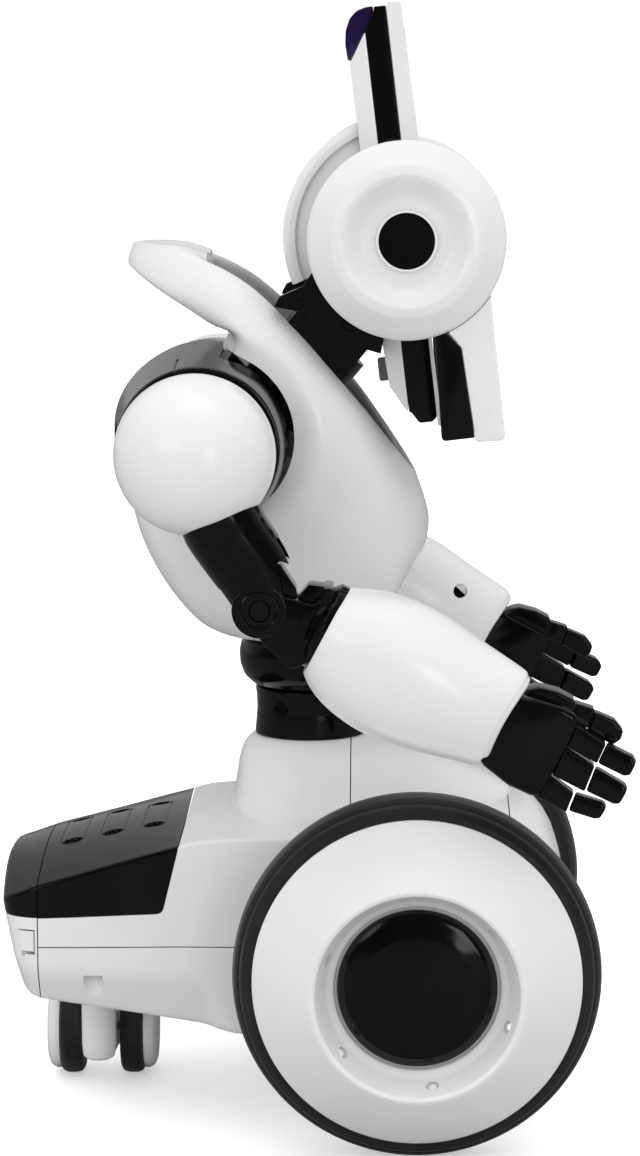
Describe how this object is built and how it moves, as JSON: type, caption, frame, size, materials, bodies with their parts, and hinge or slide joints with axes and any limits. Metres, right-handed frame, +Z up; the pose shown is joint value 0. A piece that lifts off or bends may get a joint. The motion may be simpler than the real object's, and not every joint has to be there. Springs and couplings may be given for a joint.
{
  "type": "wheeled toy robot",
  "caption": "Humanoid toy robot on a powered axle with a trailing twin caster, turning waist, nodding head with a display face and posable arms.",
  "frame": {"origin": "on the ground, below the middle of the drive axle", "axes": "+X forward, +Y to the robot's left, +Z up"},
  "size_m": [0.1925, 0.2058, 0.3325],
  "materials": {
    "white_shell": "smooth gloss injection moulded shell",
    "black_gloss": "polished gloss black moulding",
    "black_matte": "fine matte moulding",
    "tyre_rubber": "satin rubber with one fine groove",
    "steel": "turned bright steel",
    "board_green": "solder-masked board",
    "cell_wrap": "printed film over a steel can, no print",
    "window_purple": "dark tinted infra-red window",
    "button_grey": "grey moulded button",
    "screen_black": "glossy dark screen",
    "grey_inner": "natural grey inner moulding"
  },
  "bodies": {
    "base": {"base_lower_shell": "white_shell", "base_upper_shell": "white_shell", "tail_cover": "black_gloss", "rear_cap_upper": "black_gloss", "rear_cap_lower": "white_shell", "pedestal_shell": "white_shell", "hood_shell": "white_shell", "nose_shell": "white_shell", "waist_collar": "black_gloss", "battery_cells": "cell_wrap", "drive_gearboxes": "grey_inner", "main_board": "board_green", "speaker": "black_matte", "shell_screws": "steel"},
    "switch": {"power_switch": "black_matte"},
    "wheel_right": {"tyre_right": "tyre_rubber", "wheel_disc_right": "white_shell", "hub_cap_right": "black_gloss", "drive_axle_right": "steel"},
    "wheel_left": {"tyre_left": "tyre_rubber", "wheel_disc_left": "white_shell", "hub_cap_left": "black_gloss", "drive_axle_left": "steel"},
    "caster": {"caster_post": "white_shell", "caster_axle": "steel"},
    "caster_wheel_a": {"caster_tyre_a": "black_matte", "caster_hub_a": "white_shell"},
    "caster_wheel_b": {"caster_tyre_b": "black_matte", "caster_hub_b": "white_shell"},
    "torso": {"waist_ring": "black_gloss", "chest_shell": "white_shell", "back_shell": "white_shell", "shoulder_guards": "black_gloss", "neck_seat": "grey_inner"},
    "neck": {"neck_yoke": "black_gloss", "neck_cheeks": "black_gloss", "neck_screws": "black_gloss"},
    "head": {"head_rear_plate": "white_shell", "sensor_window": "window_purple", "display_housing": "black_gloss", "face_frame": "white_shell", "face_screen": "screen_black", "head_back_drum": "white_shell", "ear_disc_right": "white_shell", "ear_disc_left": "white_shell", "ear_plugs": "black_matte", "jaw_guard": "white_shell", "jaw_liner": "black_gloss"},
    "button": {"release_button": "button_grey"},
    "upper_arm_right_body": {"shoulder_ball_right": "white_shell", "upper_arm_right": "black_gloss"},
    "elbow_right_body": {"elbow_link_right": "black_gloss"},
    "forearm_right_body": {"forearm_shell_right": "white_shell", "hand_right": "black_gloss"},
    "upper_arm_left_body": {"shoulder_ball_left": "white_shell", "upper_arm_left": "black_gloss"},
    "elbow_left_body": {"elbow_link_left": "black_gloss"},
    "forearm_left_body": {"forearm_shell_left": "white_shell", "hand_left": "black_gloss"}
  },
  "joints": [
    {"name": "wheel_right_spin", "type": "hinge", "parent": "base", "child": "wheel_right", "pos_m": [0, -0.067, 0.0535], "axis": [0, 1, 0], "continuous": true},
    {"name": "wheel_left_spin", "type": "hinge", "parent": "base", "child": "wheel_left", "pos_m": [0, 0.067, 0.0535], "axis": [0, 1, 0], "continuous": true},
    {"name": "caster_swivel", "type": "hinge", "parent": "base", "child": "caster", "pos_m": [-0.098, 0, 0.038], "axis": [0, 0, 1], "continuous": true},
    {"name": "caster_wheel_a_spin", "type": "hinge", "parent": "caster", "child": "caster_wheel_a", "pos_m": [-0.107, 0.02, 0.015], "axis": [1, 0, 0], "continuous": true},
    {"name": "caster_wheel_b_spin", "type": "hinge", "parent": "caster", "child": "caster_wheel_b", "pos_m": [-0.089, 0.02, 0.015], "axis": [1, 0, 0], "continuous": true},
    {"name": "waist_turn", "type": "hinge", "parent": "base", "child": "torso", "pos_m": [-0.032, 0, 0.12], "axis": [0, 0, 1], "range_deg": [-30, 30]},
    {"name": "neck_turn", "type": "hinge", "parent": "torso", "child": "neck", "pos_m": [-0.03177, 0, 0.22664], "axis": [0.6428, 0, 0.766], "range_deg": [-35, 35]},
    {"name": "head_nod", "type": "hinge", "parent": "neck", "child": "head", "pos_m": [-0.003, 0, 0.2643], "axis": [0, -1, 0], "range_deg": [-5, 15]},
    {"name": "button_press", "type": "slide", "parent": "head", "child": "button", "axis": [0.9934, 0, 0.1149], "range_m": [0, 0.0015], "stiffness_N_per_m": 150},
    {"name": "switch_slide", "type": "slide", "parent": "base", "child": "switch", "axis": [1, 0, 0], "range_m": [0, 0.006]},
    {"name": "shoulder_right_swing", "type": "hinge", "parent": "torso", "child": "upper_arm_right_body", "pos_m": [-0.0625, -0.08, 0.206], "axis": [0, -1, 0], "range_deg": [-2, 110]},
    {"name": "elbow_right_bend", "type": "hinge", "parent": "upper_arm_right_body", "child": "elbow_right_body", "pos_m": [-0.0442, -0.08, 0.1632], "axis": [0, -1, 0], "range_deg": [-2, 50]},
    {"name": "forearm_right_twist", "type": "hinge", "parent": "elbow_right_body", "child": "forearm_right_body", "pos_m": [-0.0257, -0.08, 0.1573], "axis": [0.8829, 0, -0.4695], "range_deg": [-90, 90]},
    {"name": "shoulder_left_swing", "type": "hinge", "parent": "torso", "child": "upper_arm_left_body", "pos_m": [-0.0625, 0.08, 0.206], "axis": [0, -1, 0], "range_deg": [-2, 110]},
    {"name": "elbow_left_bend", "type": "hinge", "parent": "upper_arm_left_body", "child": "elbow_left_body", "pos_m": [-0.0442, 0.08, 0.1632], "axis": [0, -1, 0], "range_deg": [-2, 50]},
    {"name": "forearm_left_twist", "type": "hinge", "parent": "elbow_left_body", "child": "forearm_left_body", "pos_m": [-0.0257, 0.08, 0.1573], "axis": [0.8829, 0, -0.4695], "range_deg": [-90, 90]}
  ]
}
